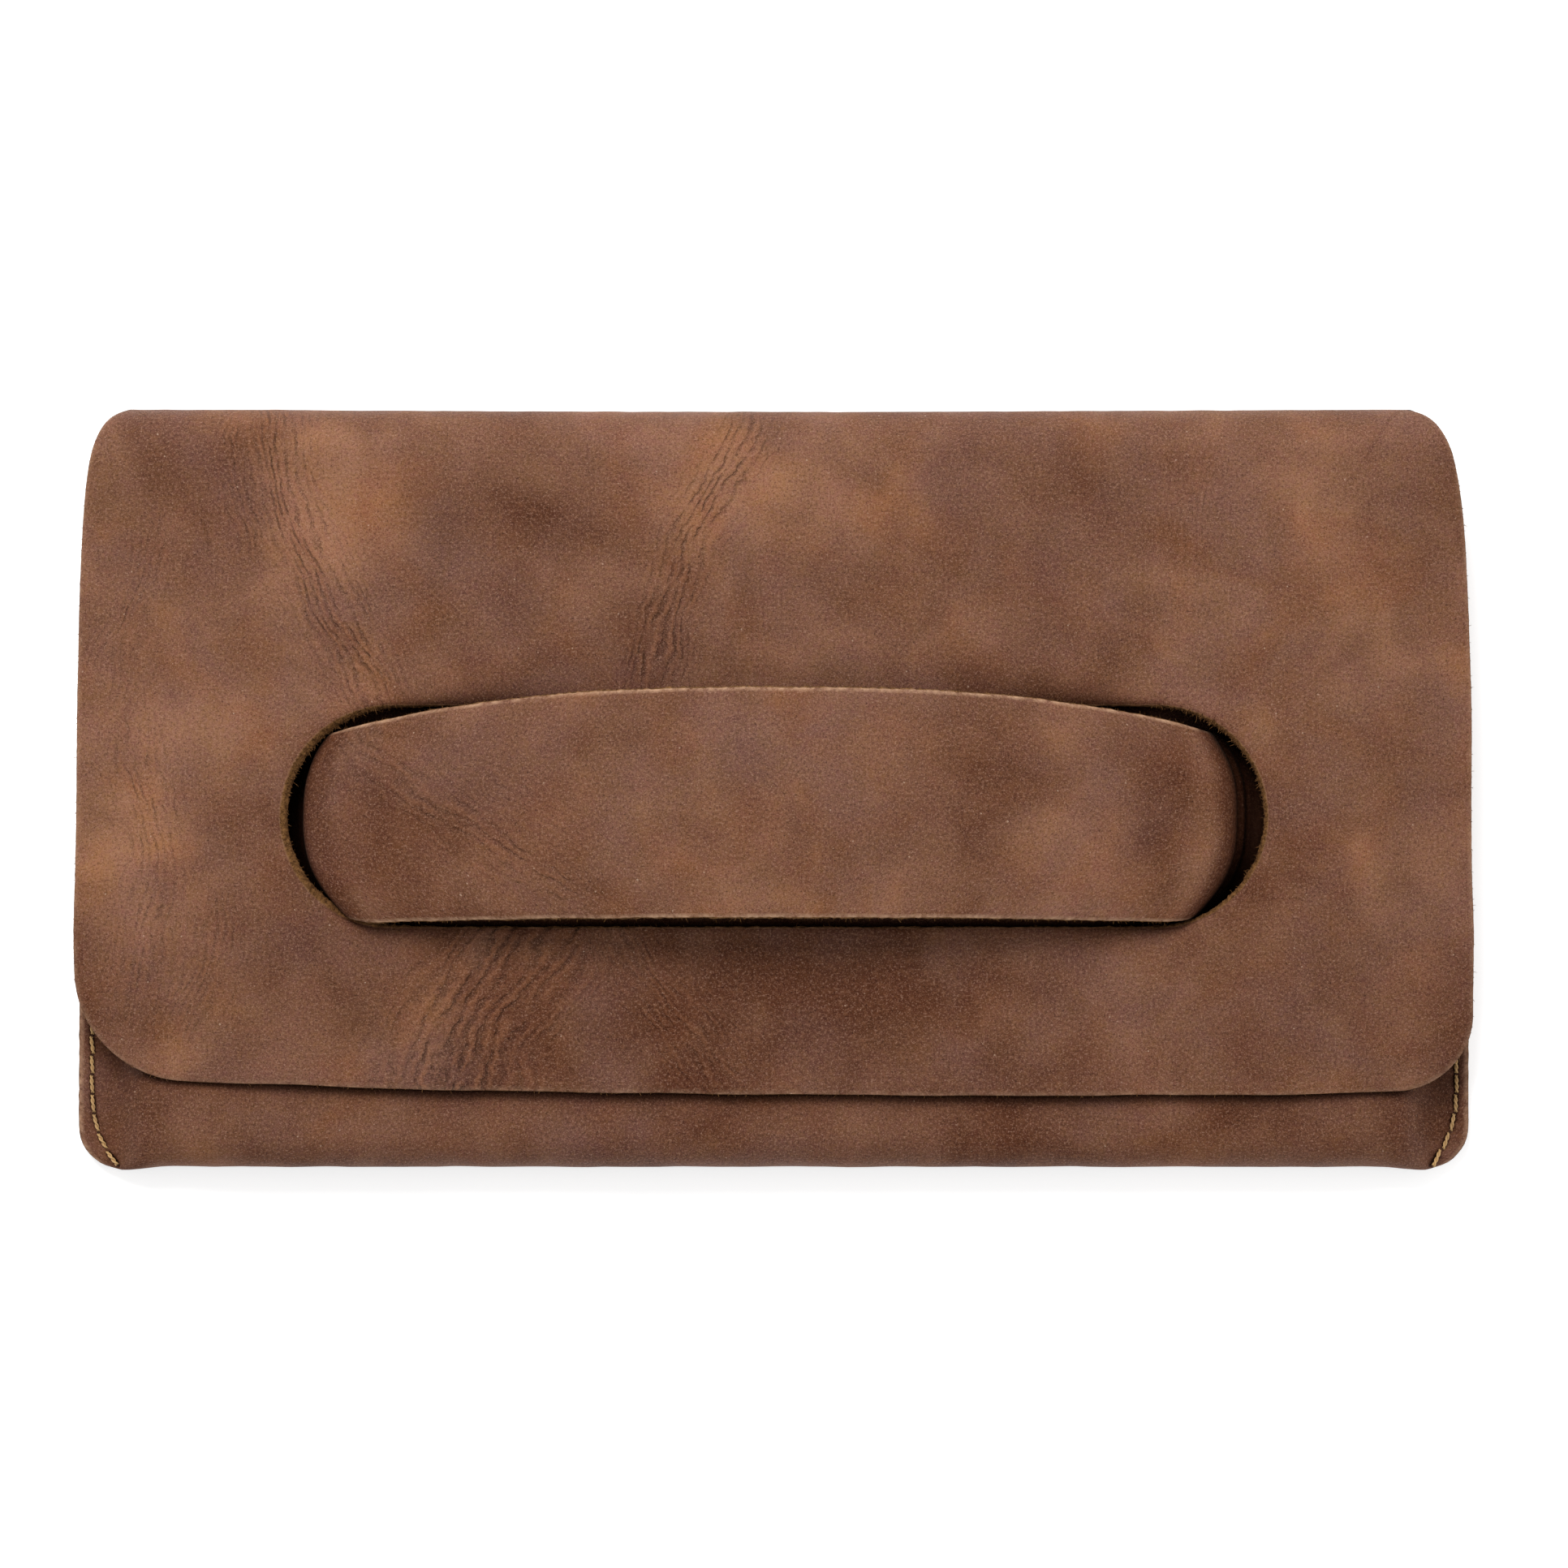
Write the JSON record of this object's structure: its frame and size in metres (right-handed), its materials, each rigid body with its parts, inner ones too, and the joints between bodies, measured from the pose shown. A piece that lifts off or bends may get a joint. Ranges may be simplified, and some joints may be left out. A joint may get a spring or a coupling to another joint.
{
  "type": "brush roll case",
  "caption": "Flat leather brush case: a sewn pouch with brush channels, closed by a slotted flap that a hand strap passes through.",
  "frame": {"origin": "centre of the outer back face, which lies on Z = 0", "axes": "+X along the width, +Y towards the top fold that carries the flap, +Z out of the front"},
  "size_m": [0.28, 0.153, 0.033],
  "materials": {
    "hide": "oiled, pulled-up brown leather with a fine nap, mottled darker and lighter",
    "strap_hide": "the same leather, with raw fuzzy edges",
    "pocket_hide": "thinner lining leather, suede side up",
    "elastic": "ribbed woven elastic, matt",
    "seam_thread": "waxed twisted thread, golden tan"
  },
  "bodies": {
    "case": {"case_shell": "hide", "side_thread_left": "seam_thread", "side_thread_right": "seam_thread", "strap_thread_left": "seam_thread", "strap_thread_right": "seam_thread", "brush_pocket": "pocket_hide", "brush_band": "elastic", "pocket_thread": "seam_thread", "band_thread": "seam_thread"},
    "flap": {"flap": "hide"},
    "strap": {"hand_strap": "strap_hide"}
  },
  "joints": [
    {"name": "flap_hinge", "type": "hinge", "parent": "case", "child": "flap", "pos_m": [0, 0.0765, 0.01], "axis": [-1, 0, 0], "range_deg": [0, 179]},
    {"name": "strap_flex", "type": "slide", "parent": "case", "child": "strap", "axis": [0, 0, 1], "range_m": [-0.009, 0.009], "stiffness_N_per_m": 300, "deforming": ["hand_strap"]}
  ]
}
